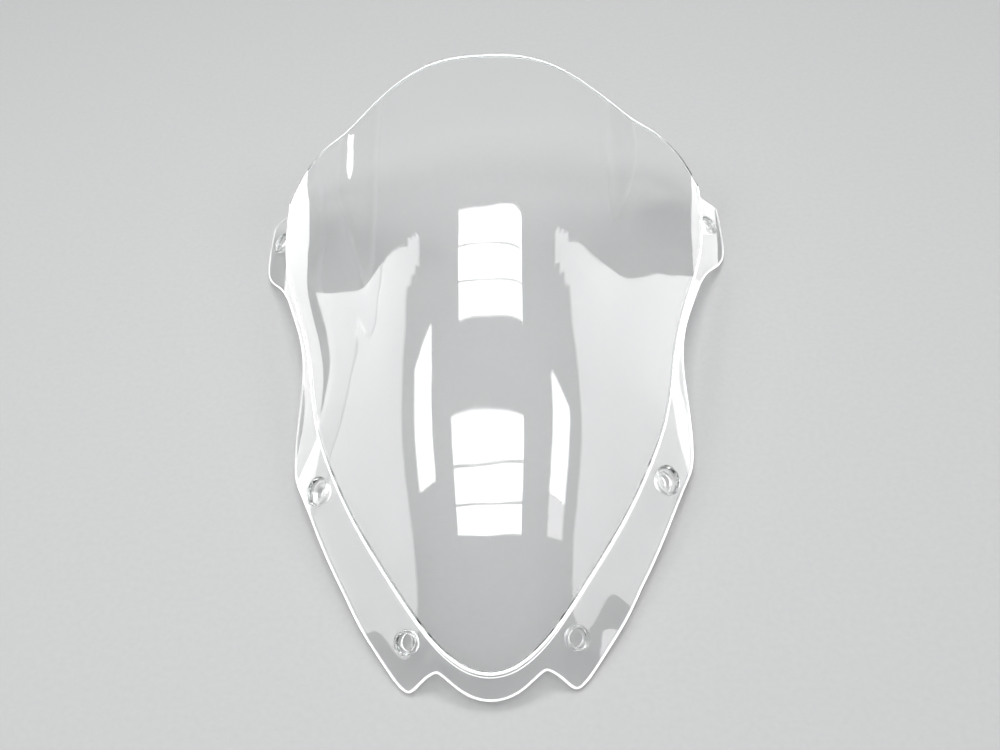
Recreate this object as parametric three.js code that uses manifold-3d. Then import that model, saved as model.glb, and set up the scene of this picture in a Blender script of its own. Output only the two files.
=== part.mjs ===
// Clear moulded windscreen for a faired motorcycle, lying bubble side up.
// Millimetres. +X is to the right when looking at it from the nose, +Y runs from
// the nose lip back to the free top edge, +Z is up.
// The part is one injection moulding. It is built here as its moulded regions,
// each a closed solid, with a hairline gap between neighbours.

import * as THREE from 'three';
import { mergeVertices } from 'three/addons/utils/BufferGeometryUtils.js';
import Module from 'manifold-3d';

const wasm = await Module();
wasm.setup();

// ---------------------------------------------------------------- driving dimensions

const SHEET = 3; // wall thickness of the moulding
const STEP = 3; // height of the joggle from flange up to bubble
const STEP_RUN = 3; // width of the joggle, measured along the surface
const GAP = 0.3; // hairline between neighbouring regions
const KINK_SOFTNESS = 7; // how gently the flank turns at the double-bubble valley
const CROWN_POWER = 3; // squareness of the cross-section

// Cross-sections along the screen. crown: height of the centre line; flank: slope
// far down the side; round: half-width of the flat crown; flare: how much the slope
// eases outside the valley line; valley: distance of that line from the centre.
const STATIONS = [
  { y: -20, crown: -6, flank: 0.35, round: 35, flare: 0.22, valley: 44 },
  { y: 40, crown: 33, flank: 0.88, round: 42, flare: 0.28, valley: 63 },
  { y: 130, crown: 74, flank: 1.04, round: 54.3, flare: 0.14, valley: 69 },
  { y: 220, crown: 104, flank: 1.35, round: 63.4, flare: 0.24, valley: 78 },
  { y: 310, crown: 121, flank: 1.59, round: 74.2, flare: 0.52, valley: 94 },
  { y: 400, crown: 133, flank: 1.56, round: 76.7, flare: 0.53, valley: 110 },
  { y: 460, crown: 139, flank: 1.6, round: 79.7, flare: 0.51, valley: 107 },
];

// Plan outlines of the right half, from the nose backwards.
const JOGGLE = [
  [0, 5.4], [12, 7.6], [24, 14.8], [41.4, 34], [61.4, 64], [82.2, 98.5], [98.7, 132.5],
  [112.3, 169.5], [119.2, 200.4], [124.6, 229.5], [137.5, 277], [146.3, 304.1],
  [153.9, 331.8], [158.3, 359.7], [159.7, 382.9], [160.1, 401.4],
];
const NOTCH = [32, 7.5];
const TIP = [49, 0];
const LIP = [[0, -8], [11, -6.2], [20, -1.6], [27.5, 4.2], NOTCH];
const LOWER_OUTLINE = [
  NOTCH, [40.5, 4], TIP, [53, 2.5], [59.5, 10], [69, 23.5], [79.5, 39.5], [91, 61],
];
const SIDE_OUTLINE = [
  [91, 61], [102.6, 83.2], [125, 132.6], [131.1, 147.9], [133, 161.4], [133.4, 179.8],
  [132.9, 199.5],
];
const NECK_OUTLINE = [
  [132.9, 199.5], [132.6, 224.9], [135.9, 249.7], [143.1, 273.7], [153.1, 301.8],
];
const EAR_OUTLINE = [
  [153.1, 301.8], [162.4, 320.1], [170.7, 332.1], [176.4, 343.8], [178.5, 356.2],
  [178.6, 378.6], [177.7, 396.8],
];
const EAR_TOP = [163.4, 396.2];
const TOP_EDGE = [
  [0, 423], [60, 421.4], [92, 424.3], [106, 427.5], [128.2, 430.8], [144.1, 425.3],
  [155, 410.8], [160.1, 401.4],
];
const PANE_START = 13; // joggle Y where the first row of the bubble ends
const LIP_BREAK = 14; // joggle Y where the nose lip meets the lower flanges
const LOWER_BREAK = 75; // joggle Y where the lower flange ends
const SIDE_BREAK = 202; // joggle Y where the side flange ends
const NECK_BREAK = 307; // joggle Y where the neck ends and the ear starts

// Fixing holes: centre in plan, measured on the flange face.
const LOWER_HOLE = [51, 26];
const MID_HOLE = [113, 131];
const EAR_HOLE = [168.2, 371];
const MID_CUP = { rim: 9.6, land: 8, bore: 4, collar: 6.4, depth: 2.2, floor: 3, reach: 8.7 };
const EAR_CUP = { rim: 8, land: 6.8, bore: 3.6, collar: 5.6, depth: 2, floor: 3, reach: 7.5 };
const CUP_EDGE = 0.8; // width of the flat ring round the dish
const CUP_FOOT = 0.6; // how far the back of the cup stands outside its floor
const BOSS = { outer: 7.3, bore: 5.2, proud: 0.6, reach: 6 };
const BOSS_OUTER_EDGE = 0.6; // bevel from the flange face up to the proud rim
const BOSS_BORE_EDGE = 0.4; // bevel from the proud rim into the bore

const GATE = { from: -42, to: 58, height: 1.6 }; // trimmed gate land on the top edge

// Fineness of the mesh: steps along each region and across it.
const PANE_MESH = { half: 12, lengthways: 34, topRows: 4, curlRows: 10 };
const LIP_MESH = { along: 24, across: 4 };
const LOWER_MESH = { along: 20, across: 6 };
const SIDE_MESH = { along: 16, across: 6 };
const NECK_MESH = { along: 12, across: 2 };
const EAR_MESH = { along: 20, across: 6 };
const NOSE_STEP_ROWS = 16;
const SIDE_STEP_ROWS = 40;
const GATE_ROWS = 20;
const ROUND_SIDES = 32;
const DRILL_LENGTH = 36;
const SLOPE_STEP = 0.05; // half the distance over which a slope is measured
const WELD = 1e-4; // points closer than this are one point

// Profile of the joggle step: share of its width, and share of its height.
const STEP_PROFILE = [[0, 1], [0.25, 0.94], [0.5, 0.5], [0.75, 0.06], [1, 0]];

// ---------------------------------------------------------------- curves and surface

// Natural cubic spline through values at rising knots.
function naturalSpline(knots, values) {
  const count = knots.length;
  const second = new Array(count).fill(0);
  const sweep = new Array(count).fill(0);
  const slope = (i) => (values[i + 1] - values[i]) / (knots[i + 1] - knots[i]);
  for (let i = 1; i < count - 1; i += 1) {
    const span = knots[i + 1] - knots[i - 1];
    const ratio = (knots[i] - knots[i - 1]) / span;
    const pivot = ratio * second[i - 1] + 2;
    second[i] = (ratio - 1) / pivot;
    sweep[i] = ((6 * (slope(i) - slope(i - 1))) / span - ratio * sweep[i - 1]) / pivot;
  }
  second[count - 1] = 0;
  for (let i = count - 2; i >= 0; i -= 1) {
    second[i] = second[i] * second[i + 1] + sweep[i];
  }
  return (at) => {
    let i = 0;
    while (i < count - 2 && at > knots[i + 1]) i += 1;
    const span = knots[i + 1] - knots[i];
    const a = (knots[i + 1] - at) / span;
    const b = 1 - a;
    const bend = (a * a * a - a) * second[i] + (b * b * b - b) * second[i + 1];
    return a * values[i] + b * values[i + 1] + (bend * span * span) / 6;
  };
}

const stationPlaces = STATIONS.map((station) => station.y);
const stationSpline = (key) => naturalSpline(stationPlaces, STATIONS.map((s) => s[key]));
const crownAt = stationSpline('crown');
const flankAt = stationSpline('flank');
const roundAt = stationSpline('round');
const flareAt = stationSpline('flare');
const valleyAt = stationSpline('valley');

// Height of the outer face of the flange, carried on under the bubble.
function faceHeight(x, y) {
  const side = Math.abs(x);
  const round = roundAt(y);
  const reach = (side ** CROWN_POWER + round ** CROWN_POWER) ** (1 / CROWN_POWER) - round;
  const past = side - valleyAt(y);
  const ease = (Math.hypot(past, KINK_SOFTNESS) + past) / 2;
  return crownAt(y) - flankAt(y) * reach + flareAt(y) * ease;
}

function faceSlope(x, y) {
  const step = SLOPE_STEP;
  const alongX = (faceHeight(x + step, y) - faceHeight(x - step, y)) / (2 * step);
  const alongY = (faceHeight(x, y + step) - faceHeight(x, y - step)) / (2 * step);
  return [alongX, alongY];
}

function faceNormal(x, y) {
  const [alongX, alongY] = faceSlope(x, y);
  return new THREE.Vector3(-alongX, -alongY, 1).normalize();
}

// The point a distance lift above the flange face at plan point x, y.
function facePoint(x, y, lift) {
  return new THREE.Vector3(x, y, faceHeight(x, y)).addScaledVector(faceNormal(x, y), lift);
}

// A smooth plan curve through points, with length as its parameter.
function planCurve(points) {
  const knots = [0];
  for (let i = 1; i < points.length; i += 1) {
    const [ax, ay] = points[i - 1];
    const [bx, by] = points[i];
    knots.push(knots[i - 1] + Math.hypot(bx - ax, by - ay));
  }
  const xAt = naturalSpline(knots, points.map((p) => p[0]));
  const yAt = naturalSpline(knots, points.map((p) => p[1]));
  return { length: knots[knots.length - 1], at: (s) => [xAt(s), yAt(s)] };
}

const mirrored = (half) => [...half.slice(1).reverse().map(([x, y]) => [-x, y]), ...half];

const joggle = planCurve(mirrored(JOGGLE));
const joggleMid = joggle.length / 2;

// Parameter of the right half of the joggle line where it reaches height y in plan.
function joggleAtY(y) {
  let low = joggleMid;
  let high = joggle.length;
  while (high - low > WELD) {
    const middle = (low + high) / 2;
    if (joggle.at(middle)[1] < y) low = middle;
    else high = middle;
  }
  return low;
}

// A point off the joggle line: out is the distance along the surface, outwards.
function offJoggle(s, out) {
  const [x, y] = joggle.at(s);
  const [ax, ay] = joggle.at(s - SLOPE_STEP);
  const [bx, by] = joggle.at(s + SLOPE_STEP);
  const size = Math.hypot(bx - ax, by - ay);
  const nx = (by - ay) / size;
  const ny = -(bx - ax) / size;
  const [sx, sy] = faceSlope(x, y);
  const run = out / Math.hypot(1, sx * nx + sy * ny);
  return [x + nx * run, y + ny * run];
}

// ---------------------------------------------------------------- solids

function closedGeometry(positions, indices) {
  const a = new THREE.Vector3();
  const b = new THREE.Vector3();
  const c = new THREE.Vector3();
  let volume = 0;
  for (let i = 0; i < indices.length; i += 3) {
    a.fromArray(positions, indices[i] * 3);
    b.fromArray(positions, indices[i + 1] * 3);
    c.fromArray(positions, indices[i + 2] * 3);
    volume += a.dot(b.cross(c));
  }
  const facing = volume < 0 ? indices.slice().reverse() : indices;
  const geometry = new THREE.BufferGeometry();
  geometry.setAttribute('position', new THREE.Float32BufferAttribute(positions, 3));
  geometry.setIndex(facing);
  return geometry;
}

// A sheet of wall thickness SHEET from a grid of [x, y, lift] plan points.
function sheetSolid(rows) {
  const positions = [];
  const indices = [];
  const across = rows[0].length;
  const layer = rows.length * across;
  for (const below of [0, SHEET]) {
    for (const row of rows) {
      for (const [x, y, lift] of row) positions.push(...facePoint(x, y, lift - below).toArray());
    }
  }
  const quad = (a, b, c, d) => indices.push(a, b, c, a, c, d);
  for (let i = 0; i < rows.length - 1; i += 1) {
    for (let j = 0; j < across - 1; j += 1) {
      const k = i * across + j;
      quad(k, k + 1, k + across + 1, k + across);
      quad(layer + k + across, layer + k + across + 1, layer + k + 1, layer + k);
    }
  }
  const rim = [];
  for (let j = 0; j < across - 1; j += 1) rim.push(j);
  for (let i = 0; i < rows.length - 1; i += 1) rim.push(i * across + across - 1);
  for (let j = across - 1; j > 0; j -= 1) rim.push(layer - across + j);
  for (let i = rows.length - 1; i > 0; i -= 1) rim.push(i * across);
  rim.forEach((from, n) => {
    const to = rim[(n + 1) % rim.length];
    quad(from, from + layer, to + layer, to);
  });
  return closedGeometry(positions, indices);
}

// Rows running from an inner plan curve to an outer one, mirrored for the left side.
function bandRows(inner, outer, { along, across }, side = 1) {
  const rows = [];
  for (let i = 0; i <= along; i += 1) {
    const [ax, ay] = inner(i / along);
    const [bx, by] = outer(i / along);
    const row = [];
    for (let j = 0; j <= across; j += 1) {
      const t = j / across;
      row.push([side * (ax + (bx - ax) * t), ay + (by - ay) * t, 0]);
    }
    rows.push(row);
  }
  return rows;
}

function toManifold(geometry) {
  const bare = new THREE.BufferGeometry();
  bare.setAttribute('position', geometry.getAttribute('position').clone());
  bare.setIndex(geometry.getIndex());
  const welded = mergeVertices(bare, WELD);
  const mesh = new wasm.Mesh({
    numProp: 3,
    vertProperties: new Float32Array(welded.getAttribute('position').array),
    triVerts: new Uint32Array(welded.getIndex().array),
  });
  return new wasm.Manifold(mesh);
}

function fromManifold(solid) {
  const mesh = solid.getMesh();
  return closedGeometry(Array.from(mesh.vertProperties), Array.from(mesh.triVerts));
}

// A frame on the flange face at a hole: origin on the face, Y along the normal.
function holePlace([x, y], side) {
  const place = new THREE.Matrix4();
  const turn = new THREE.Quaternion();
  turn.setFromUnitVectors(new THREE.Vector3(0, 1, 0), faceNormal(side * x, y));
  place.compose(facePoint(side * x, y, 0), turn, new THREE.Vector3(1, 1, 1));
  return place;
}

function drillHole(geometry, hole, side, radius) {
  const drill = new THREE.CylinderGeometry(radius, radius, DRILL_LENGTH, ROUND_SIDES);
  drill.applyMatrix4(holePlace(hole, side));
  return fromManifold(toManifold(geometry).subtract(toManifold(drill)));
}

function ringSolid(profile, hole, side) {
  const points = profile.map(([radius, height]) => new THREE.Vector2(radius, height));
  points.push(points[0].clone());
  const ring = new THREE.LatheGeometry(points, ROUND_SIDES);
  ring.applyMatrix4(holePlace(hole, side));
  ring.deleteAttribute('normal');
  ring.deleteAttribute('uv');
  const welded = mergeVertices(ring, WELD);
  const positions = Array.from(welded.getAttribute('position').array);
  return closedGeometry(positions, Array.from(welded.getIndex().array));
}

// ---------------------------------------------------------------- regions

// The bubble: rows start as the nose arc of the joggle line and straighten going back,
// and the last rows follow the free top edge.
function bubblePane() {
  const { half, lengthways, topRows, curlRows } = PANE_MESH;
  const noseEnd = joggleAtY(PANE_START);
  const noseSpan = noseEnd - joggleMid;
  const topEdge = planCurve(mirrored(TOP_EDGE));
  const rows = [];
  const [noseX, noseY] = joggle.at(noseEnd);
  for (let i = 0; i <= lengthways; i += 1) {
    const s = noseEnd + (joggle.length - noseEnd) * (i / lengthways);
    const [edgeX, edgeY] = joggle.at(s);
    const curl = Math.max(0, 1 - i / curlRows) ** 2;
    const row = [];
    for (let j = -half; j <= half; j += 1) {
      const t = Math.abs(j) / half;
      const [arcX, arcY] = joggle.at(joggleMid + noseSpan * t);
      row.push([(Math.sign(j) * edgeX * arcX) / noseX, edgeY - curl * (noseY - arcY), STEP]);
    }
    rows.push(row);
  }
  const shoulder = rows[rows.length - 1];
  for (let i = 1; i <= topRows; i += 1) {
    const t = i / topRows;
    rows.push(shoulder.map(([x, y], j) => {
      const [topX, topY] = topEdge.at((topEdge.length * j) / (2 * half));
      return [x + (topX - x) * t, y + (topY - y) * t, STEP];
    }));
  }
  return sheetSolid(rows);
}

// One stretch of the joggle step: bubble height at its inner edge, flange height outside.
function joggleStep(from, to, side, steps) {
  const rows = [];
  for (let i = 0; i <= steps; i += 1) {
    const s = from + ((to - from) * i) / steps;
    rows.push(STEP_PROFILE.map(([along, up]) => {
      const [x, y] = offJoggle(s, GAP + along * STEP_RUN);
      return [side * x, y, up * STEP];
    }));
  }
  return sheetSolid(rows);
}

const FLANGE_START = STEP_RUN + 2 * GAP;

// A stretch of flange between the joggle and one outline curve.
function flangeBand(fromY, toY, outline, side, fineness) {
  const outer = planCurve(outline);
  const from = joggleAtY(fromY) + GAP / 2;
  const to = joggleAtY(toY) - GAP / 2;
  const trim = GAP / 2 / outer.length;
  const innerAt = (t) => offJoggle(from + (to - from) * t, FLANGE_START);
  const outerAt = (t) => outer.at(outer.length * (trim + (1 - 2 * trim) * t));
  return sheetSolid(bandRows(innerAt, outerAt, fineness, side));
}

function lowerFlange(side) {
  const band = flangeBand(LIP_BREAK, LOWER_BREAK, LOWER_OUTLINE, side, LOWER_MESH);
  return drillHole(band, LOWER_HOLE, side, BOSS.outer + GAP);
}

function sideFlange(side) {
  const band = flangeBand(LOWER_BREAK, SIDE_BREAK, SIDE_OUTLINE, side, SIDE_MESH);
  return drillHole(band, MID_HOLE, side, MID_CUP.rim + GAP);
}

function neckFlange(side) {
  return flangeBand(SIDE_BREAK, NECK_BREAK, NECK_OUTLINE, side, NECK_MESH);
}

function ear(side) {
  const outer = planCurve(EAR_OUTLINE);
  const from = joggleAtY(NECK_BREAK) + GAP / 2;
  const to = joggleAtY(EAR_TOP[1]);
  const innerAt = (t) => offJoggle(from + (to - from) * t, FLANGE_START);
  const outerAt = (t) => outer.at(GAP / 2 + (outer.length - GAP / 2) * t);
  const band = sheetSolid(bandRows(innerAt, outerAt, EAR_MESH, side));
  return drillHole(band, EAR_HOLE, side, EAR_CUP.rim + GAP);
}

function noseLip() {
  const outer = planCurve(mirrored(LIP));
  const reach = joggleAtY(LIP_BREAK) - joggleMid - GAP / 2;
  const innerAt = (t) => offJoggle(joggleMid + reach * (2 * t - 1), FLANGE_START);
  const trim = GAP / 2 / outer.length;
  const outerAt = (t) => outer.at(outer.length * (trim + (1 - 2 * trim) * t));
  return sheetSolid(bandRows(innerAt, outerAt, LIP_MESH));
}

// Recessed dish with a flat floor, a bore and a short collar on the back.
function screwCup(hole, cup, side) {
  const { rim, land, bore, collar, depth, floor, reach } = cup;
  const back = depth + floor;
  const profile = [
    [rim, 0], [rim - CUP_EDGE, 0], [land, -depth], [bore, -depth], [bore, -reach],
    [collar, -reach], [collar, -back], [land + CUP_FOOT, -back], [rim, -SHEET],
  ];
  return ringSolid(profile, hole, side);
}

// Short thick-walled tube, a little proud of the flange.
function lowerBoss(side) {
  const { outer, bore, proud, reach } = BOSS;
  const profile = [
    [outer, 0], [outer - BOSS_OUTER_EDGE, proud], [bore + BOSS_BORE_EDGE, proud], [bore, 0],
    [bore, -reach], [outer, -reach],
  ];
  return ringSolid(profile, LOWER_HOLE, side);
}

function gateLand() {
  const topEdge = planCurve(mirrored(TOP_EDGE));
  const rows = [];
  const middle = topEdge.length / 2;
  for (let i = 0; i <= GATE_ROWS; i += 1) {
    const [x, y] = topEdge.at(middle + GATE.from + ((GATE.to - GATE.from) * i) / GATE_ROWS);
    rows.push([[x, y + GAP, STEP], [x, y + GAP + GATE.height, STEP]]);
  }
  return sheetSolid(rows);
}

// ---------------------------------------------------------------- assembly

const screen = new THREE.Group();

function addPart(name, geometry, roughness = 0.04) {
  const material = new THREE.MeshStandardMaterial({ color: 0xe9eeee, roughness, metalness: 0 });
  material.transparent = true;
  material.opacity = 0.35;
  const mesh = new THREE.Mesh(geometry, material);
  mesh.name = name;
  screen.add(mesh);
}

addPart('bubble_pane', bubblePane());
addPart('nose_lip', noseLip());
const noseStepEnd = joggleAtY(LIP_BREAK);
const noseStepStart = joggle.length - noseStepEnd;
const noseStep = joggleStep(noseStepStart + GAP / 2, noseStepEnd - GAP / 2, 1, NOSE_STEP_ROWS);
addPart('joggle_step_nose', noseStep);
for (const [hand, side] of [['left', -1], ['right', 1]]) {
  const sideStep = joggleStep(noseStepEnd + GAP / 2, joggle.length, side, SIDE_STEP_ROWS);
  addPart(`joggle_step_${hand}`, sideStep);
  addPart(`lower_flange_${hand}`, lowerFlange(side));
  addPart(`side_flange_${hand}`, sideFlange(side));
  addPart(`neck_flange_${hand}`, neckFlange(side));
  addPart(`ear_${hand}`, ear(side));
  addPart(`lower_boss_${hand}`, lowerBoss(side));
  addPart(`mid_screw_cup_${hand}`, screwCup(MID_HOLE, MID_CUP, side));
  addPart(`ear_screw_cup_${hand}`, screwCup(EAR_HOLE, EAR_CUP, side));
}
addPart('gate_land', gateLand(), 0.2);

// The origin is the bottom centre of the whole screen.
screen.updateMatrixWorld(true);
const box = new THREE.Box3().setFromObject(screen);
screen.position.set(0, -(box.min.y + box.max.y) / 2, -box.min.z);

export default screen;
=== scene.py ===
"""Looks of the clear moulded motorcycle windscreen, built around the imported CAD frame.

The shape is worked out in millimetres in the moulding's own plan frame (x across, y from
the nose lip back to the free top edge, both seen from above), and every mesh is moved into
the row frame, in metres, by seat_in_frame.
"""

import math

import bpy
import numpy as np
from mathutils import Matrix, Vector
from mathutils.geometry import delaunay_2d_cdt


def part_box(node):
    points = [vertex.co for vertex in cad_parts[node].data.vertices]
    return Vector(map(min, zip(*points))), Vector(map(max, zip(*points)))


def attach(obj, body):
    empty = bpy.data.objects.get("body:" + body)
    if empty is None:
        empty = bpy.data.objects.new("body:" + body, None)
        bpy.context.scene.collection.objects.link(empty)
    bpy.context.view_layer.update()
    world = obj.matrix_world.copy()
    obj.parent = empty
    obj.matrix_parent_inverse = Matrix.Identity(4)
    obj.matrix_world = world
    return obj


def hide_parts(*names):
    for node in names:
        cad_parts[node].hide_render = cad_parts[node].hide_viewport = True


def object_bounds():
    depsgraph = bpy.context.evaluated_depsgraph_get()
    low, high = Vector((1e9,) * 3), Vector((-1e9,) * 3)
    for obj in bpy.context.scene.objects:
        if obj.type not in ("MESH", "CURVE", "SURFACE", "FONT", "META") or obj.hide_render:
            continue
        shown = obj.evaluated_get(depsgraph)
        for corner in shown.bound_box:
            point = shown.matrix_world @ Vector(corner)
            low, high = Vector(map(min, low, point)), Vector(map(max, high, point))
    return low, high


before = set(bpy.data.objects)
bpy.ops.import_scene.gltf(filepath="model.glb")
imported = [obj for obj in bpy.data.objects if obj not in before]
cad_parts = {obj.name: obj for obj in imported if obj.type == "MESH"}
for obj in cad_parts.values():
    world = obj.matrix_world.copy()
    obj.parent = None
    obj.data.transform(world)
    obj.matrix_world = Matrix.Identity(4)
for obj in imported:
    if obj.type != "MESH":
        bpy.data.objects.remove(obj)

cad_low, cad_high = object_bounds()
MM = 0.001

# ------------------------------------------------------------------ driving dimensions

SHEET = 3.0  # wall thickness
STEP = 3.0  # height of the joggle between flange and bubble
STEP_START = -0.7  # where the joggle starts to fall, outwards from its line
STEP_TURN = math.radians(62)  # how steeply it falls, against the flange
TOP_SHOULDER, TOP_FOOT = 2.4, 0.7  # its radii on the outer face
BACK_SHOULDER, BACK_FOOT = 0.6, 3.2  # and on the inner face
JOGGLE_HIGHLIGHT_BANDS = ((-0.7, 1.0), (2.1, 2.8))  # where the joggle is painted with bright highlight lines, outwards from its line
KINK_SOFTNESS = 7.0  # how far the fold at the valley is eased
CROWN_POWER = 3.0  # roundness of the crown
EDGE_ROUND = 1.35  # radius on the moulded rim, nearly half round
HOLE_ROUND = 0.2  # radius on the rim of a fixing hole
SEAM = 0.09  # hairline round a moulded-in boss
CORNER_SOFTNESS = 1.3  # how far a corner of the outline is eased, along the rim

# Cross-sections along the screen, as in the CAD part.
STATION_Y = (-20, 40, 130, 220, 310, 400, 460)
CROWN = (-6, 33, 74, 104, 121, 133, 139)
FLANK = (0.35, 0.88, 1.04, 1.35, 1.59, 1.56, 1.6)
ROUND = (35, 42, 54.3, 63.4, 74.2, 76.7, 79.7)
FLARE = (0.22, 0.28, 0.14, 0.24, 0.52, 0.53, 0.51)
VALLEY = (44, 63, 69, 78, 94, 110, 107)

# Plan lines of the right half, from the nose backwards.
JOGGLE = (
    (0, 5.4), (12, 7.6), (24, 14.8), (41.4, 34), (61.4, 64), (82.2, 98.5), (98.7, 132.5),
    (112.3, 169.5), (119.2, 200.4), (124.6, 229.5), (137.5, 277), (146.3, 304.1),
    (153.9, 331.8), (158.3, 359.7), (159.7, 382.9), (160.1, 401.4),
)
LIP = ((0, -8), (11, -6.2), (20, -1.6), (27.5, 4.2), (32, 7.5))
LOWER = ((32, 7.5), (40.5, 4), (49, 0), (53, 2.5), (59.5, 10), (69, 23.5), (79.5, 39.5), (91, 61))
SIDE = (
    (91, 61), (102.6, 83.2), (125, 132.6), (131.1, 147.9), (133, 161.4), (133.4, 179.8),
    (132.9, 199.5),
)
NECK = ((132.9, 199.5), (132.6, 224.9), (135.9, 249.7), (143.1, 273.7), (153.1, 301.8))
EAR = (
    (153.1, 301.8), (162.4, 320.1), (170.7, 332.1), (176.4, 343.8), (178.5, 356.2),
    (178.6, 378.6), (177.7, 396.8),
)
EAR_TOP = ((177.7, 396.8), (163.4, 396.2), (160.1, 401.4))
TOP = (
    (0, 423), (60, 421.4), (92, 424.3), (106, 427.4), (128.2, 430.6), (144.1, 425.2),
    (155, 410.8), (160.1, 401.4),
)

# Fixing holes: plan centre and section of what is moulded into each.
LOWER_HOLE = (51, 26)
MID_HOLE = (113, 131)
EAR_HOLE = (168.2, 371)
MID_CUP = {
    "rim": 9.6, "land": 8.0, "bore": 4.0, "collar": 6.4, "depth": 2.2, "floor": 3.0, "reach": 8.7,
}
EAR_CUP = {
    "rim": 8.0, "land": 6.8, "bore": 3.6, "collar": 5.6, "depth": 2.0, "floor": 3.0, "reach": 7.5,
}
BOSS = {"rim": 7.3, "bore": 5.2, "proud": 0.6, "reach": 6.0}

GATE_FROM, GATE_TO = -42.0, 58.0  # along the top edge from its middle
GATE_HEIGHT = 1.45
GATE_TAPER = 3.0  # how far from each end it reaches its full height
# Its closed section: how far out, in gate heights, and how deep, in sheet thicknesses.
GATE_SECTION = (
    (0, 0.1), (0.25, 0), (0.8, 0.05), (1, 0.2), (1, 0.8), (0.8, 0.95), (0.25, 1), (0, 0.9),
)

# Mesh fineness.
SAMPLE_PITCH = 0.25  # points of the outline before it is eased
LINE_PITCH = 0.4  # samples of the joggle line
RIM_PITCH = 0.9
JOGGLE_PITCH = 1.6
JOGGLE_ROWS = np.linspace(-3.0, 4.8, 25)
JOGGLE_SIDE_ROWS = (-1.6, -3.2, 5.2, 6.8)
SKIN_PITCH = 3.0
ROW_PITCH = SKIN_PITCH * math.sqrt(0.75)
ROUND_STEPS = 6  # across a rounded corner
ROUND_SIDES = 96  # round a hole or a boss
GATE_STEPS = 160
SLOPE_STEP = 0.05  # for slopes taken as differences
# Rows beside each rim: distance from it, how many rim points share one, room each needs.
SIDE_ROWS = ((1.1, 1, 0.9), (2.6, 2, 1.6))
MERGE_DISTANCE = 1e-5  # plan points closer than this are one
ON_MIDDLE = 1e-6  # closer to the middle line than this is on it

# ------------------------------------------------------------------ curves and surface


def natural_spline(knots, values):
    """Natural cubic spline through values at rising knots."""
    knots, values = np.asarray(knots, float), np.asarray(values, float)
    span = np.diff(knots)
    slope = np.diff(values) / span
    count = len(knots)
    system = np.eye(count)
    bend = np.zeros(count)
    for i in range(1, count - 1):
        system[i, i - 1 : i + 2] = span[i - 1], 2 * (span[i - 1] + span[i]), span[i]
        bend[i] = 6 * (slope[i] - slope[i - 1])
    second = np.linalg.solve(system, bend)

    def at(place):
        place = np.asarray(place, float)
        i = np.clip(np.searchsorted(knots, place) - 1, 0, count - 2)
        a = (knots[i + 1] - place) / span[i]
        b = 1 - a
        curve = (a**3 - a) * second[i] + (b**3 - b) * second[i + 1]
        return a * values[i] + b * values[i + 1] + curve * span[i] ** 2 / 6

    return at


crown_at, flank_at, round_at, flare_at, valley_at = (
    natural_spline(STATION_Y, values) for values in (CROWN, FLANK, ROUND, FLARE, VALLEY)
)


def face_height(x, y):
    """Height of the flange's outer face, carried on under the bubble."""
    side = np.abs(x)
    flat = round_at(y)
    reach = (side**CROWN_POWER + flat**CROWN_POWER) ** (1 / CROWN_POWER) - flat
    past = side - valley_at(y)
    ease = (np.hypot(past, KINK_SOFTNESS) + past) / 2
    return crown_at(y) - flank_at(y) * reach + flare_at(y) * ease


def face_slope(x, y, step=SLOPE_STEP):
    along_x = (face_height(x + step, y) - face_height(x - step, y)) / (2 * step)
    along_y = (face_height(x, y + step) - face_height(x, y - step)) / (2 * step)
    return along_x, along_y


def unit(vectors):
    return vectors / np.linalg.norm(vectors, axis=-1, keepdims=True)


def face_normal(x, y):
    along_x, along_y = face_slope(x, y)
    return unit(np.stack([-along_x, -along_y, np.ones_like(along_x)], -1))


def face_point(x, y, lift):
    """The point a distance lift above the flange face, for arrays of plan points."""
    base = np.stack([x, y, face_height(x, y)], -1)
    return base + face_normal(x, y) * np.asarray(lift)[..., None]


def mirrored(half):
    return [(-x, y) for x, y in reversed(half[1:])] + list(half)


# The inner face falls earlier, so that the wall keeps its thickness down the joggle.
BACK_OFFSET = (TOP_SHOULDER - BACK_SHOULDER) * math.tan(STEP_TURN / 2)
BACK_OFFSET -= SHEET * math.tan(STEP_TURN / 2)


class PlanCurve:
    """A smooth plan curve through points, with chord length as its parameter."""

    def __init__(self, points):
        points = np.asarray(points, float)
        knots = np.r_[0, np.cumsum(np.hypot(*np.diff(points, axis=0).T))]
        self.length = knots[-1]
        self.x_at = natural_spline(knots, points[:, 0])
        self.y_at = natural_spline(knots, points[:, 1])

    def at(self, s):
        return np.stack([self.x_at(s), self.y_at(s)], -1)

    def run(self, start, end, pitch):
        """Points about pitch apart between two parameters."""
        return self.at(np.linspace(start, end, max(2, round(abs(end - start) / pitch) + 1)))


joggle = PlanCurve(mirrored(JOGGLE))
top_edge = PlanCurve(mirrored(TOP))

# The joggle line as close samples with outward plan normals, carried straight on past
# its two ends so that the whole top of the bubble counts as inside it.
JOGGLE_TAIL = np.linspace(0, 60, 120)
line = joggle.run(0, joggle.length, LINE_PITCH)
ahead = unit(line[-1] - line[-2])
behind = unit(line[0] - line[1])
line = np.concatenate([
    line[0] + behind * JOGGLE_TAIL[:0:-1, None],
    line,
    line[-1] + ahead * JOGGLE_TAIL[1:, None],
])
tangent = unit(np.gradient(line, axis=0))
outward = np.stack([tangent[:, 1], -tangent[:, 0]], -1)
stretch = np.hypot(1, (np.stack(face_slope(*line.T), -1) * outward).sum(-1))


def nearest(points, others):
    """Index of and distance to the nearest of others, for each point."""
    index, distance = [], []
    batch = 1000  # keeps the tables of distances small
    for part in np.array_split(points, max(1, len(points) // batch)):
        square = ((part[:, None] - others[None]) ** 2).sum(-1)
        index.append(square.argmin(1))
        distance.append(np.sqrt(square.min(1)))
    return np.concatenate(index), np.concatenate(distance)


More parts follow.
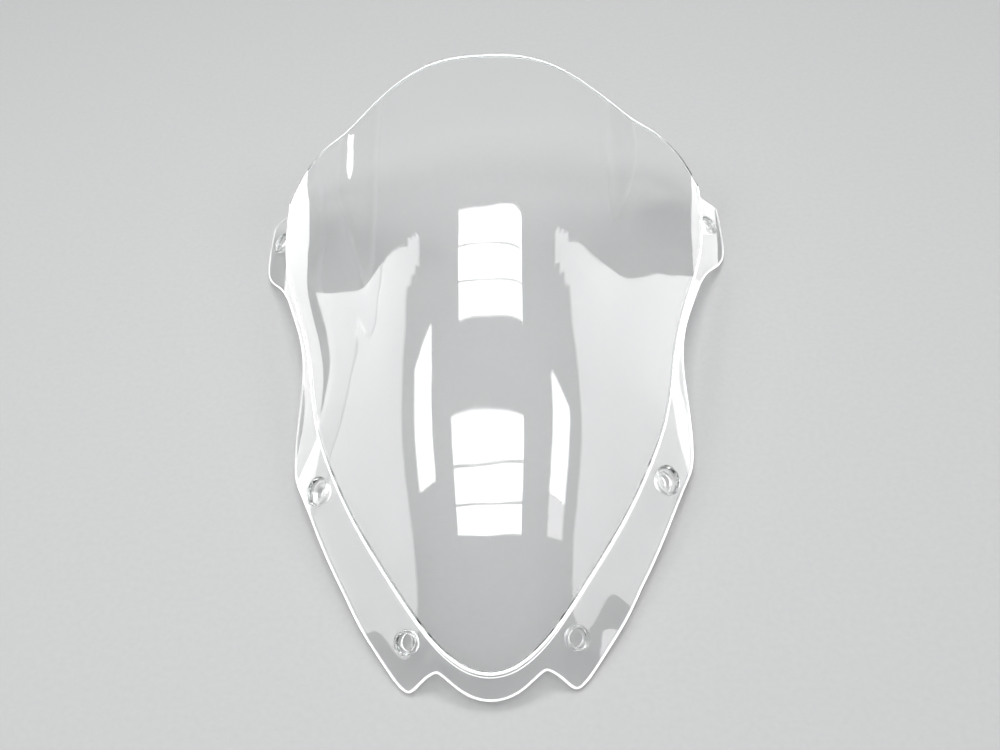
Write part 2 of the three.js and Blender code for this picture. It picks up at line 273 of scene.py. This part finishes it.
def step_section(out, start, shoulder, foot):
    """Height and slope of a joggle face: an arc, a steep flank and an arc into the flange."""
    rise = np.tan(STEP_TURN)
    wall = (STEP - (shoulder + foot) * (1 - np.cos(STEP_TURN))) / rise
    first = start + shoulder * np.sin(STEP_TURN)
    second = first + wall
    end = second + foot * np.sin(STEP_TURN)
    a = np.clip(out - start, 0, first - start)
    b = np.clip(end - out, 0, end - second)
    flank = np.clip(out - first, 0, wall)
    height = STEP - (shoulder - np.sqrt(shoulder**2 - a**2)) - flank * rise
    height = np.where(out > second, foot - np.sqrt(foot**2 - b**2), height)
    slope = -np.where(out > second, b / np.sqrt(foot**2 - b**2), a / np.sqrt(shoulder**2 - a**2))
    return height, np.where((out > first) & (out < second), -rise, slope)


def off_line(points):
    """Nearest sample of the joggle line, and distance outwards from it on the surface."""
    index, _ = nearest(points, line)
    return index, ((points - line[index]) * outward[index]).sum(-1) * stretch[index]


def joggle_lift(points, below=0):
    """Height above the flange face at plan points, and its slope in plan."""
    index, out = off_line(points)
    if below:
        lift, fall = step_section(out, STEP_START + BACK_OFFSET, BACK_SHOULDER, BACK_FOOT)
    else:
        lift, fall = step_section(out, STEP_START, TOP_SHOULDER, TOP_FOOT)
    return lift, (fall * stretch[index])[:, None] * outward[index]


def skin(points, below):
    """Place and outward normal of one face of the wall at plan points."""
    x, y = points.T
    lift, fall = joggle_lift(points, below)
    depth = lift - below
    step = SLOPE_STEP
    up = face_normal(x, y)
    along_x = (face_point(x + step, y, depth) - face_point(x - step, y, depth)) / (2 * step)
    along_y = (face_point(x, y + step, depth) - face_point(x, y - step, depth)) / (2 * step)
    normal = np.cross(along_x + up * fall[:, :1], along_y + up * fall[:, 1:])
    return face_point(x, y, depth), unit(normal) * (-1 if below else 1)


def off_joggle(s, out):
    """Plan points off the joggle line: out is measured along the surface, outwards."""
    points = joggle.at(s)
    heading = unit(joggle.at(s + 0.1) - joggle.at(s - 0.1))
    away = np.stack([heading[:, 1], -heading[:, 0]], -1)
    slope = np.stack(face_slope(*points.T), -1)
    return points + away * (out / np.hypot(1, (slope * away).sum(-1)))[:, None]


# ------------------------------------------------------------------ outline in plan


def resample(loop, pitch):
    """A closed loop of points spaced evenly, about pitch apart."""
    ring = np.concatenate([loop, loop[:1]])
    knots = np.r_[0, np.cumsum(np.hypot(*np.diff(ring, axis=0).T))]
    places = np.linspace(0, knots[-1], round(knots[-1] / pitch), endpoint=False)
    return np.stack([np.interp(places, knots, ring[:, k]) for k in (0, 1)], -1)


def outline_half():
    """The right half of the rim in plan, from the nose to the top, with eased corners."""
    lip = PlanCurve(mirrored(LIP))
    runs = [lip.run(lip.length / 2, lip.length, SAMPLE_PITCH)]
    for points in (LOWER, SIDE, NECK, EAR):
        curve = PlanCurve(points)
        runs.append(curve.run(0, curve.length, SAMPLE_PITCH)[1:])
    runs.append(np.array(EAR_TOP[1:], float))
    runs.append(top_edge.run(top_edge.length, top_edge.length / 2, SAMPLE_PITCH)[1:])
    half = np.concatenate(runs)
    loop = resample(np.concatenate([half, half[-2:0:-1] * (-1, 1)]), SAMPLE_PITCH)

    offsets = np.arange(-20, 21)  # neighbours that each point is averaged with
    weight = np.exp(-((offsets * SAMPLE_PITCH / CORNER_SOFTNESS) ** 2) / 2)
    weight /= weight.sum()
    eased = sum(w * np.roll(loop, -k, axis=0) for k, w in zip(offsets, weight))
    eased = resample(eased, SAMPLE_PITCH)

    right = eased[eased[:, 0] > 0.1]
    start = np.hypot(*(right - half[0]).T).argmin()
    right = np.roll(right, -start, axis=0)
    if np.hypot(*(right[1] - right[0])) > 1:  # the first point came round from the top
        right = np.roll(right, -1, axis=0)
    knots = np.r_[0, np.cumsum(np.hypot(*np.diff(right, axis=0).T))]
    places = np.linspace(0, knots[-1], round(knots[-1] / RIM_PITCH))
    right = np.stack([np.interp(places, knots, right[:, k]) for k in (0, 1)], -1)
    right[0, 0] = right[-1, 0] = 0
    return right


def rim_frames(points):
    """At rim points: place on the outer face, its normal, and the way out of the wall."""
    lift, _ = joggle_lift(points)
    x, y = points.T
    place = face_point(x, y, lift)
    along = np.gradient(place, axis=0)
    along[0, 1:] = along[-1, 1:] = 0
    up = face_normal(x, y)
    return place, up, unit(np.cross(along, up))


def round_rim(radius):
    """Section of a rounded rim: how far in and how deep each row is, and its facing."""
    turn = np.linspace(0, math.pi / 2, ROUND_STEPS + 1)
    inset = radius * (1 - np.sin(turn))
    depth = radius * (1 - np.cos(turn))
    rows = list(zip(inset, depth, np.sin(turn), np.cos(turn)))
    back = [(i, SHEET - d, s, -c) for i, d, s, c in reversed(rows)]
    return rows + back


# ------------------------------------------------------------------ the shell


def hole_frame(hole, side=1):
    """Matrix of a fixing hole: origin on the flange face, Z out of it along the normal."""
    x, y = np.array([side * float(hole[0])]), np.array([float(hole[1])])
    place, up = face_point(x, y, np.zeros(1))[0], face_normal(x, y)[0]
    across = unit(np.cross((0, 1, 0), up))
    frame_of_hole = np.eye(4)
    frame_of_hole[:3] = np.stack([across, np.cross(up, across), up, place], 1)
    return frame_of_hole


def face_over(hole_matrix, a, b):
    """Height of the flange face over a hole's tangent plane at points a, b in it."""
    across, back, up, place = hole_matrix[:3].T
    flat = place + a[..., None] * across + b[..., None] * back
    height = np.zeros_like(a)
    for _ in range(4):  # each pass closes most of what is left
        point = flat + height[..., None] * up
        height = height + (face_height(point[..., 0], point[..., 1]) - point[..., 2]) * up[2]
    return height


def circle_points():
    """Cosine and sine of each side's angle round a hole or a boss."""
    turn = np.arange(ROUND_SIDES) * 2 * math.pi / ROUND_SIDES
    return np.cos(turn), np.sin(turn)


def hole_loop(hole_matrix, radius):
    """Points round a hole where it meets the flange's outer face."""
    cos, sin = circle_points()
    a, b = radius * cos, radius * sin
    height = face_over(hole_matrix, a, b)
    return np.stack([a, b, height], -1) @ hole_matrix[:3, :3].T + hole_matrix[:3, 3]


def inside(points, loop):
    """Which points lie inside a closed plan loop."""
    found = np.zeros(len(points), bool)
    x, y = points.T
    for (ax, ay), (bx, by) in zip(loop, np.roll(loop, -1, axis=0)):
        if ay == by:
            continue
        crosses = (ay > y) != (by > y)
        found ^= crosses & (x < ax + (bx - ax) * (y - ay) / (by - ay))
    return found


def hole_places():
    """Matrix of each right fixing hole, and the radius of its opening in the shell."""
    sizes = ((LOWER_HOLE, BOSS["rim"]), (MID_HOLE, MID_CUP["rim"]), (EAR_HOLE, EAR_CUP["rim"]))
    return [(hole_frame(hole), rim + SEAM) for hole, rim in sizes]


def middle_line(inner):
    """Plan points up the middle line, with a row wherever the joggle has one."""
    joggle_y = JOGGLE[0][1] - JOGGLE_ROWS[::-1] / stretch[len(line) // 2]
    front_y = np.linspace(inner[0, 1], joggle_y[0], 5)[1:-1]
    behind_y = np.arange(joggle_y[-1] + 1, inner[-1, 1] - 1, ROW_PITCH)
    middle_y = np.concatenate([front_y, joggle_y, behind_y])
    return np.stack([np.zeros_like(middle_y), middle_y], -1)


def filling_points(loops, half_loop, fixed):
    """The fixed plan points and, where there is room, those that fill the half: first
    beside the joggle, then beside the rims, then a triangular grid."""
    steps = np.linspace(joggle.length / 2, joggle.length, round(joggle.length / 2 / JOGGLE_PITCH))
    sets = [(off_joggle(steps, out), 0.25) for out in JOGGLE_ROWS]
    sets += [(off_joggle(steps, out), 1.0) for out in JOGGLE_SIDE_ROWS]
    for number, loop in enumerate(loops):
        is_hole = number > 0
        ring = np.concatenate([loop[-1:], loop, loop[:1]])
        way = unit(ring[2:] - ring[:-2])
        into_wall = np.stack([-way[:, 1], way[:, 0]], -1) * (-1 if is_hole else 1)
        pace = 3 if is_hole else 1
        for away, sparse, room in SIDE_ROWS:
            sets.append(((loop + into_wall * away)[:: sparse * pace], room))
    low, high = fixed.min(0), fixed.max(0)
    grid = [
        (x + (i % 2) * SKIN_PITCH / 2, y)
        for i, y in enumerate(np.arange(low[1], high[1], ROW_PITCH))
        for x in np.arange(0, high[0], SKIN_PITCH)
    ]
    sets.append((np.array(grid), SKIN_PITCH * 0.7))
    kept = fixed
    for points, room in sets:
        points = points[inside(points, half_loop) & (points[:, 0] > 0.5)]
        for loop in loops[1:]:
            points = points[~inside(points, loop)]
        _, gap = nearest(points, kept)
        kept = np.concatenate([kept, points[gap > room]])
    return kept


def right_half_plan():
    """Plan points and triangles of the right half, its rim, where the rim's points are
    among them, the holes, and where each hole's points are."""
    rim = outline_half()
    place, _, out = rim_frames(rim)
    inner = (place - out * EDGE_ROUND)[:, :2]
    inner[0, 0] = inner[-1, 0] = 0
    holes = hole_places()
    loops = [inner] + [hole_loop(m, r + HOLE_ROUND)[:, :2] for m, r in holes]
    middle = middle_line(inner)
    half_loop = np.concatenate([inner, middle[::-1]])
    kept = filling_points(loops, half_loop, np.concatenate(loops + [middle]))

    count = len(inner)
    edges = [(i, i + 1) for i in range(count - 1)]
    starts = [count]
    for loop in loops[1:]:
        start, size = starts[-1], len(loop)
        edges += [(start + i, start + (i + 1) % size) for i in range(size)]
        starts.append(start + size)
    spine = [0] + list(range(starts[-1], starts[-1] + len(middle))) + [count - 1]
    edges += list(zip(spine[:-1], spine[1:]))
    kept = [Vector(point) for point in kept.tolist()]
    found = delaunay_2d_cdt(kept, edges, [], 0, MERGE_DISTANCE, True)
    points = np.array([tuple(p) for p in found[0]])
    faces = np.array([tuple(f) for f in found[2] if len(f) == 3])
    home = {origin: i for i, origins in enumerate(found[3]) for origin in origins}

    centres = points[faces].mean(1)
    good = inside(centres, half_loop)
    for loop in loops[1:]:
        good &= ~inside(centres, loop)
    faces = faces[good]
    a, b, c = points[faces].transpose(1, 0, 2)
    turned = (b - a)[:, 0] * (c - a)[:, 1] - (b - a)[:, 1] * (c - a)[:, 0] < 0
    faces[turned] = faces[turned][:, ::-1]
    rings = [
        [home[start + i] for i in range(len(loop))] for start, loop in zip(starts, loops[1:])
    ]
    return points, faces, rim, [home[i] for i in range(count)], holes, rings


def both_halves(points, faces):
    """Which points both halves share, and the faces with those of the left half added."""
    shared = np.abs(points[:, 0]) < ON_MIDDLE
    partner = np.where(shared, np.arange(len(points)), 0)
    partner[~shared] = len(points) + np.arange((~shared).sum())
    flipped = [tuple(partner[list(face)][::-1]) for face in faces]
    return shared, list(map(tuple, faces)) + flipped


def shell_arrays():
    """The whole shell in plan frame millimetres: its vertices, normals and faces, and
    for each face 0 if it is clear, 1 on the outer rim and 2 on the joggle's bright lines, both of
    these with painted highlight."""
    plan, triangles, rim, rim_index, holes, rings = right_half_plan()
    count = len(plan)
    top, top_normal = skin(plan, 0)
    bottom, bottom_normal = skin(plan, SHEET)
    points, normals = [top, bottom], [top_normal, bottom_normal]
    faces = [tuple(t) for t in triangles] + [tuple(t[::-1] + count) for t in triangles]
    _, out = off_line(plan[triangles].mean(1))
    # faces on the joggle's bands get the painted highlight material
    in_highlight_band = sum(((out > low) & (out < high)).astype(int) for low, high in JOGGLE_HIGHLIGHT_BANDS)
    kinds = (2 * in_highlight_band).tolist() + [0] * len(triangles)
    used = 2 * count

    def wall(first, rows, last, closed, outwards):
        """Faces down a rim, through rows of (places, normals), from top to bottom loop."""
        nonlocal used
        lines = [list(first)]
        for places, facing in rows:
            lines.append(list(range(used, used + len(places))))
            used += len(places)
            points.append(places)
            normals.append(facing)
        lines.append([i + count for i in last])
        size = len(first)
        for upper, lower in zip(lines[:-1], lines[1:]):
            for i in range(size if closed else size - 1):
                j = (i + 1) % size
                quad = (lower[i], lower[j], upper[j], upper[i])
                faces.append(quad if outwards else quad[::-1])
                # outer rim faces get the painted highlight material, hole rims stay clear
                kinds.append(int(outwards))

    place, up, out = rim_frames(rim)
    rows = []
    for inset, depth, sideways, upwards in round_rim(EDGE_ROUND)[1:-1]:
        row = place - out * inset - up * depth
        row[0, 0] = row[-1, 0] = 0
        rows.append((row, unit(out * sideways + up * upwards)))
    wall(rim_index, rows, rim_index, False, True)

    circle = np.stack(circle_points(), -1)
    for (matrix, radius), ring in zip(holes, rings):
        axes, centre = matrix[:3, :3], matrix[:3, 3]
        rows = []
        for inset, depth, sideways, upwards in round_rim(HOLE_ROUND):
            flat = circle * (radius + inset)
            height = face_over(matrix, flat[:, 0], flat[:, 1]) - depth
            row = np.column_stack([flat, height]) @ axes.T + centre
            upright = np.full(ROUND_SIDES, upwards)
            facing = np.column_stack([-circle * sideways, upright]) @ axes.T
            rows.append((row, facing))
        top[ring], bottom[ring] = rows[0][0], rows[-1][0]
        wall(ring, rows[1:-1], ring, True, False)

    points, normals = np.concatenate(points), unit(np.concatenate(normals))
    shared, faces = both_halves(points, faces)
    points = np.concatenate([points, points[~shared] * (-1, 1, 1)])
    normals[shared, 0] = 0
    normals = np.concatenate([normals, normals[~shared] * (-1, 1, 1)])
    return points, unit(normals), faces, kinds * 2


# ------------------------------------------------------------------ into the row frame

_, pane_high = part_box("bubble_pane")
top_middle = face_point(np.zeros(1), np.array([float(TOP[0][1])]), np.array([STEP]))[0]
SHIFT = np.array([0, cad_low.y / MM - LIP[0][1], pane_high.z / MM - top_middle[2]])


def seat_in_frame(points):
    return (points + SHIFT) * MM


# All the plastic, for the walls of light, which shine on nothing else.
plastic = bpy.data.collections.new("plastic")


def plastic_object(name, mesh):
    made = bpy.data.objects.new(name, mesh)
    bpy.context.scene.collection.objects.link(made)
    plastic.objects.link(made)
    return made


def piece(name, points, normals, faces, materials, kinds=None):
    """A smooth mesh object from plan-frame arrays, with its exact normals kept; kinds
    gives each face the number of its material."""
    mesh = bpy.data.meshes.new(name)
    mesh.from_pydata(seat_in_frame(points).tolist(), [], [list(map(int, f)) for f in faces])
    mesh.validate()
    mesh.polygons.foreach_set("use_smooth", [True] * len(mesh.polygons))
    for material in materials:
        mesh.materials.append(material)
    if kinds is not None:
        mesh.polygons.foreach_set("material_index", kinds)
    mesh.normals_split_custom_set_from_vertices(normals.tolist())
    return plastic_object(name, mesh)


# ------------------------------------------------------------------ moulded-in bosses


def eased_section(corners, radii):
    """Closed section with rounded corners: radius, height and facing of each point."""
    corners = np.asarray(corners, float)
    before = unit(corners - np.roll(corners, 1, axis=0))
    after = np.roll(before, -1, axis=0)
    section = []
    for corner, way_in, way_out, radius in zip(corners, before, after, radii):
        face_in, face_out = (np.array([way[1], -way[0]]) for way in (way_in, way_out))
        turn = math.atan2(way_in[0] * way_out[1] - way_in[1] * way_out[0], way_in @ way_out)
        sign = 1 if turn > 0 else -1
        centre = corner - sign * unit(face_in + face_out) * radius / math.cos(turn / 2)
        start = math.atan2(face_in[1], face_in[0])
        for angle in np.linspace(start, start + turn, ROUND_STEPS + 1):
            facing = np.array([math.cos(angle), math.sin(angle)])
            section.append((*(centre + sign * facing * radius), *facing))
    return np.array(section)


def turned_piece(name, hole, side, section, land, material):
    """A turned boss in a fixing hole; outside its land radius it follows the flange face."""
    matrix = hole_frame(hole, side)
    axes, centre = matrix[:3, :3], matrix[:3, 3]
    cos, sin = (values[:, None] for values in circle_points())
    radius, height, sideways, upwards = section.T
    rim = radius.max()
    follow = np.clip((radius - land) / (rim - land), 0, 1)
    a, b = cos * radius, sin * radius
    places = np.stack([a, b, height + follow * face_over(matrix, a, b)], -1) @ axes.T + centre
    upright = np.broadcast_to(upwards, a.shape)
    facing = np.stack([cos * sideways, sin * sideways, upright], -1) @ axes.T
    across = len(section)
    faces = []
    for i in range(ROUND_SIDES):
        j = (i + 1) % ROUND_SIDES
        for k in range(across):
            m = (k + 1) % across
            faces.append((i * across + k, j * across + k, j * across + m, i * across + m))
    return piece(name, places.reshape(-1, 3), facing.reshape(-1, 3), faces, [material])


def screw_cup(name, hole, cup, side, material):
    """A recessed dish for a screw head, with a collar on its back."""
    rim, land, bore, collar = cup["rim"], cup["land"], cup["bore"], cup["collar"]
    depth, reach = cup["depth"], cup["reach"]
    back = depth + cup["floor"]
    corners = [
        (rim, 0), (rim - 0.8, 0), (land, -depth), (bore, -depth), (bore, -reach),
        (collar, -reach), (collar, -back), (land + 0.6, -back), (rim, -SHEET),
    ]
    radii = [0.2, 0.6, 0.5, 0.3, 0.3, 0.4, 0.5, 0.4, 0.2]
    return turned_piece(name, hole, side, eased_section(corners, radii), land, material)


def lower_boss(name, side, material):
    """A short tube round a lower fixing hole, a little proud of the flange."""
    rim, bore, proud, reach = (BOSS[key] for key in ("rim", "bore", "proud", "reach"))
    corners = [
        (rim, -reach), (rim, 0), (rim - 0.6, proud), (bore + 0.4, proud), (bore, 0),
        (bore, -reach),
    ]
    radii = [0.5, 0.3, 0.25, 0.2, 0.3, 0.5]
    return turned_piece(name, LOWER_HOLE, side, eased_section(corners, radii), bore, material)


# ------------------------------------------------------------------ gate land


def gate_land(material):
    """The sliver left on the top edge where the moulding was sawn off its gate."""
    middle = top_edge.length / 2
    places = np.linspace(middle + GATE_FROM, middle + GATE_TO, GATE_STEPS)
    edge = top_edge.at(places)
    lift = np.full(len(places), STEP)
    base = face_point(edge[:, 0], edge[:, 1], lift)
    up = face_normal(edge[:, 0], edge[:, 1])
    out = unit(np.cross(unit(np.gradient(base, axis=0)), up))
    out *= np.sign(out[:, 1:2])
    from_end = np.minimum(places - places[0], places[-1] - places)
    taper = np.clip(from_end / GATE_TAPER, 0.15, 1)
    chatter = 0.06 * np.sin(places * 2.3) + 0.05 * np.sin(places * 5.1 + 1) - 0.11
    height = GATE_HEIGHT * taper + chatter
    base = base + out * SEAM
    rows = [base + out * (o * height)[:, None] - up * (d * SHEET) for o, d in GATE_SECTION]
    points = np.stack(rows, 1).reshape(-1, 3)
    size = len(GATE_SECTION)
    faces = []
    for first in range(0, (GATE_STEPS - 1) * size, size):
        second = first + size
        for k in range(size):
            m = (k + 1) % size
            faces.append((first + k, first + m, second + m, second + k))
    last = (GATE_STEPS - 1) * size
    faces += [tuple(range(size))[::-1], tuple(last + k for k in range(size))]
    mesh = bpy.data.meshes.new("gate_land_sliver")
    mesh.from_pydata(seat_in_frame(points).tolist(), [], faces)
    mesh.validate()
    mesh.materials.append(material)
    return plastic_object("gate_land_sliver", mesh)


# ------------------------------------------------------------------ materials

ACRYLIC_IOR = 1.5


def node(tree, kind, **values):
    """A new node, with each value set on its property or input of that name."""
    made = tree.nodes.new(kind)
    for name, value in values.items():
        if hasattr(made, name):
            setattr(made, name, value)
        else:
            made.inputs[name.replace("_", " ")].default_value = value
    return made


def new_material(name):
    """A material with its node tree, its shader and the place it is looked up at."""
    material = bpy.data.materials.new(name)
    material.use_nodes = True
    tree = material.node_tree
    place = tree.nodes.new("ShaderNodeTexCoord").outputs["Object"]
    return material, tree, tree.nodes["Principled BSDF"], place


def plastic_material(name, colour, clearness):
    """A new material set up as acrylic."""
    material, tree, shader, place = new_material(name)
    shader.inputs["Base Color"].default_value = (*colour, 1)
    shader.inputs["Transmission Weight"].default_value = clearness
    shader.inputs["IOR"].default_value = ACRYLIC_IOR
    return material, tree, shader, place


def clear_moulding():
    """Clear acrylic: faint flow waviness, polishing haze and fine hairlines."""
    material, tree, shader, place = plastic_material("clear_moulding", (0.996, 1, 0.998), 1)
    link = tree.links.new

    haze = node(tree, "ShaderNodeTexNoise", Scale=22.0, Detail=4.0)
    link(place, haze.inputs["Vector"])
    rough = node(
        tree, "ShaderNodeMapRange", From_Min=0.45, From_Max=0.8, To_Min=0.012, To_Max=0.05
    )
    link(haze.outputs["Fac"], rough.inputs["Value"])
    link(rough.outputs["Result"], shader.inputs["Roughness"])

    flow = node(tree, "ShaderNodeTexNoise", Scale=26.0, Detail=1.0)
    link(place, flow.inputs["Vector"])
    wavy = node(tree, "ShaderNodeBump", Strength=0.6, Distance=0.00025)
    link(flow.outputs["Fac"], wavy.inputs["Height"])
    squeeze = node(tree, "ShaderNodeMapping", Scale=(12, 900, 900))
    link(place, squeeze.inputs["Vector"])
    lines = node(tree, "ShaderNodeTexNoise", Scale=1.0, Detail=2.0)
    link(squeeze.outputs["Vector"], lines.inputs["Vector"])
    hairline = node(tree, "ShaderNodeBump", Strength=0.12, Distance=0.00002)
    link(lines.outputs["Fac"], hairline.inputs["Height"])
    link(wavy.outputs["Normal"], hairline.inputs["Normal"])
    link(hairline.outputs["Normal"], shader.inputs["Normal"])

    tint = node(tree, "ShaderNodeVolumeAbsorption", Color=(0.7, 0.83, 0.81, 1), Density=1.0)
    link(tint.outputs["Volume"], tree.nodes["Material Output"].inputs["Volume"])
    return material


def worked_plastic(name, colour, clearness, marks_scale, rough_range, strength, distance):
    """Plastic that a tool left rough: marks of a scale vary its roughness and its relief."""
    material, tree, shader, place = plastic_material(name, colour, clearness)
    link = tree.links.new
    marks = node(tree, "ShaderNodeTexNoise", Scale=marks_scale, Detail=3.0)
    link(place, marks.inputs["Vector"])
    low, high = rough_range
    rough = node(tree, "ShaderNodeMapRange", From_Min=0.3, From_Max=0.7, To_Min=low, To_Max=high)
    link(marks.outputs["Fac"], rough.inputs["Value"])
    link(rough.outputs["Result"], shader.inputs["Roughness"])
    bump = node(tree, "ShaderNodeBump", Strength=strength, Distance=distance)
    link(marks.outputs["Fac"], bump.inputs["Height"])
    link(bump.outputs["Normal"], shader.inputs["Normal"])
    return material


def painted_highlight_plastic(name, clearness):
    """Slightly rough plastic, partly white: a painted highlight for edges that would catch the
    lights.
    """
    return worked_plastic(name, (1, 1, 1), clearness, 700.0, (0.12, 0.3), 0.3, 0.00005)


def sawn_edge():
    """Where it was sawn: clear but frosted, with fine saw marks."""
    colour = (0.97, 0.985, 0.985)
    return worked_plastic("sawn_edge", colour, 1, 900.0, (0.15, 0.45), 0.5, 0.0001)


def pale_floor():
    """Pale grey paper, paler far away, where less of the ceiling lights it."""
    material, tree, shader, place = new_material("pale_floor")
    link = tree.links.new
    shader.inputs["Roughness"].default_value = 0.75
    grain = node(tree, "ShaderNodeTexNoise", Scale=260.0, Detail=4.0)
    link(place, grain.inputs["Vector"])
    shade = node(
        tree, "ShaderNodeMapRange", From_Min=0.2, From_Max=0.8, To_Min=0.33, To_Max=0.35
    )
    link(grain.outputs["Fac"], shade.inputs["Value"])

    squeeze = node(tree, "ShaderNodeVectorMath", operation="MULTIPLY")
    squeeze.inputs[1].default_value = (0.65, 1, 1)  # the ceiling reaches further along x
    link(place, squeeze.inputs[0])
    away = node(tree, "ShaderNodeVectorMath", operation="LENGTH")
    link(squeeze.outputs["Vector"], away.inputs[0])
    fade = node(tree, "ShaderNodeMapRange", From_Min=0.6, From_Max=3.0)
    fade.interpolation_type = "SMOOTHSTEP"
    link(away.outputs["Value"], fade.inputs["Value"])
    pale = node(tree, "ShaderNodeMapRange", To_Max=0.95)
    link(fade.outputs["Result"], pale.inputs["Value"])
    link(shade.outputs["Result"], pale.inputs["To Min"])
    link(pale.outputs["Result"], shader.inputs["Base Color"])
    return material


# ------------------------------------------------------------------ pieces

clear, sawn = clear_moulding(), sawn_edge()
# The outer rim and the joggle's bands are partly white plastic, a painted highlight standing in
# for the bright lines there.
rim_highlight, joggle_highlight = painted_highlight_plastic("rim_painted_highlight", 0.3), painted_highlight_plastic("joggle_painted_highlight", 0.2)

HANDS = (("left", -1), ("right", 1))
points, normals, faces, kinds = shell_arrays()
shell = piece("screen_shell", points, normals, faces, [clear, rim_highlight, joggle_highlight], kinds)
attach(shell, "root")
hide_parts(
    "bubble_pane", "nose_lip", "joggle_step_nose",
    *(f"{region}_{hand}" for hand, _ in HANDS
      for region in ("joggle_step", "lower_flange", "side_flange", "neck_flange", "ear")),
)

for hand, side in HANDS:
    for made, stands_for in (
        (screw_cup(f"mid_cup_{hand}", MID_HOLE, MID_CUP, side, clear), f"mid_screw_cup_{hand}"),
        (screw_cup(f"ear_cup_{hand}", EAR_HOLE, EAR_CUP, side, clear), f"ear_screw_cup_{hand}"),
        (lower_boss(f"lower_tube_{hand}", side, clear), f"lower_boss_{hand}"),
    ):
        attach(made, "root")
        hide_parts(stands_for)

gate = gate_land(sawn)
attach(gate, "root")
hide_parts("gate_land")

# ------------------------------------------------------------------ stage, light, camera


def floor():
    mesh = bpy.data.meshes.new("floor")
    half = 20.0
    corners = [(-half, -half, 0), (half, -half, 0), (half, half, 0), (-half, half, 0)]
    mesh.from_pydata(corners, [], [(0, 1, 2, 3)])
    mesh.materials.append(pale_floor())
    made = bpy.data.objects.new("floor", mesh)
    made.location.z = -0.0003  # just clear of the plastic
    bpy.context.scene.collection.objects.link(made)


def panel(name, centre, size, facing, radiance):
    """A rectangular soft light: size is its width and height, facing its direction."""
    lamp = bpy.data.lights.new(name, "AREA")
    lamp.shape = "RECTANGLE"
    lamp.size, lamp.size_y = size
    lamp.energy = radiance * math.pi * size[0] * size[1]
    made = bpy.data.objects.new(name, lamp)
    made.location = centre
    made.rotation_mode = "QUATERNION"
    made.rotation_quaternion = Vector(facing).to_track_quat("-Z", "Y")
    bpy.context.scene.collection.objects.link(made)
    return made


DOWN = (0, 0, -1)
CEILING = 1.4  # height of the fittings, m
CEILING_RADIANCE = 9


def ceiling(name, centre, size, louvres):
    """A ceiling fitting at x, y: panels across it, with a dark louvre between each two."""
    gap = 0.011
    depth = (size[1] + gap) / louvres
    for i in range(louvres):
        y = centre[1] - size[1] / 2 + depth * (i + 0.5) - gap / 2
        place = (centre[0], y, CEILING)
        panel(f"{name}_{i}", place, (size[0], depth - gap), DOWN, CEILING_RADIANCE)


ceiling("ceiling_far", (0.06, 0.51), (0.72, 0.60), 3)
ceiling("ceiling_near", (-0.03, -0.37), (0.88, 0.46), 3)
ceiling("ceiling_left", (-1.38, 0.03), (0.75, 0.66), 1)
ceiling("ceiling_right", (1.60, -0.09), (0.70, 0.58), 1)
panel("ceiling_right_tail", (1.60, -0.49, CEILING), (0.70, 0.21), DOWN, 3.5)

# The two walls of light shine only on the plastic, and leave the floor plain. Each row is a
# panel: how far out it stands, from low y to high y, from low z to high z. The near ones and
# the left wall's foot are not seen through the plastic, only reflected by it, which takes
# more light to look the same.
WALL_RADIANCE, HIDDEN_RADIANCE = 2.6, 4.0
WALL_PANELS = (
    (0.30, -0.30, 0.42, 0.002, 0.034), (1.6, -1.17, 1.07, 0.01, 0.20),
    (1.6, -1.17, 1.07, 0.20, 0.88), (1.6, 0.84, 1.12, 0.88, 1.02),
    (1.6, 0.91, 1.15, 1.02, 1.18), (1.6, 0.98, 1.19, 1.18, 1.36),
)
for hand, side in HANDS:
    for out, low_y, high_y, low_z, high_z in WALL_PANELS:
        hidden = out < 1 or (hand == "left" and low_z < 0.1)
        size = (high_y - low_y, high_z - low_z)
        centre = (side * out, (low_y + high_y) / 2, (low_z + high_z) / 2)
        radiance = HIDDEN_RADIANCE if hidden else WALL_RADIANCE
        wall = panel(f"wall_{hand}", centre, size, (-side, 0, 0), radiance)
        wall.visible_transmission = not hidden
        wall.light_linking.receiver_collection = plastic

world = bpy.data.worlds.new("studio")
world.use_nodes = True
surroundings = world.node_tree.nodes["Background"]
surroundings.inputs["Color"].default_value = (0.96, 0.98, 1, 1)
surroundings.inputs["Strength"].default_value = 0.62
bpy.context.scene.world = world

floor()


CAMERA_PLACE = (0.03799, -0.47691, 0.60345)
CAMERA_TURNS = (-3.812, 50.006, -5.013)  # yaw, pitch down and roll, degrees
CAMERA_LENS, CAMERA_SENSOR = 39.6, 36  # mm


def camera():
    """Looks down at the nose from in front, turned and tilted a little."""
    yaw, pitch, roll = (math.radians(turn) for turn in CAMERA_TURNS)
    level_part = math.cos(pitch)
    ahead = Vector((math.sin(yaw) * level_part, math.cos(yaw) * level_part, -math.sin(pitch)))
    level = Vector((math.cos(yaw), -math.sin(yaw), 0))
    up = level.cross(ahead)
    right = math.cos(roll) * level + math.sin(roll) * up
    lens = bpy.data.cameras.new("camera")
    lens.sensor_width = CAMERA_SENSOR
    lens.lens = CAMERA_LENS
    lens.clip_start = 0.01
    made = bpy.data.objects.new("camera", lens)
    turn = Matrix((right, right.cross(ahead), -ahead)).transposed()
    made.matrix_world = Matrix.Translation(CAMERA_PLACE) @ turn.to_4x4()
    bpy.context.scene.collection.objects.link(made)
    bpy.context.scene.camera = made


camera()
bpy.context.scene.view_settings.view_transform = "Standard"

bpy.context.view_layer.update()
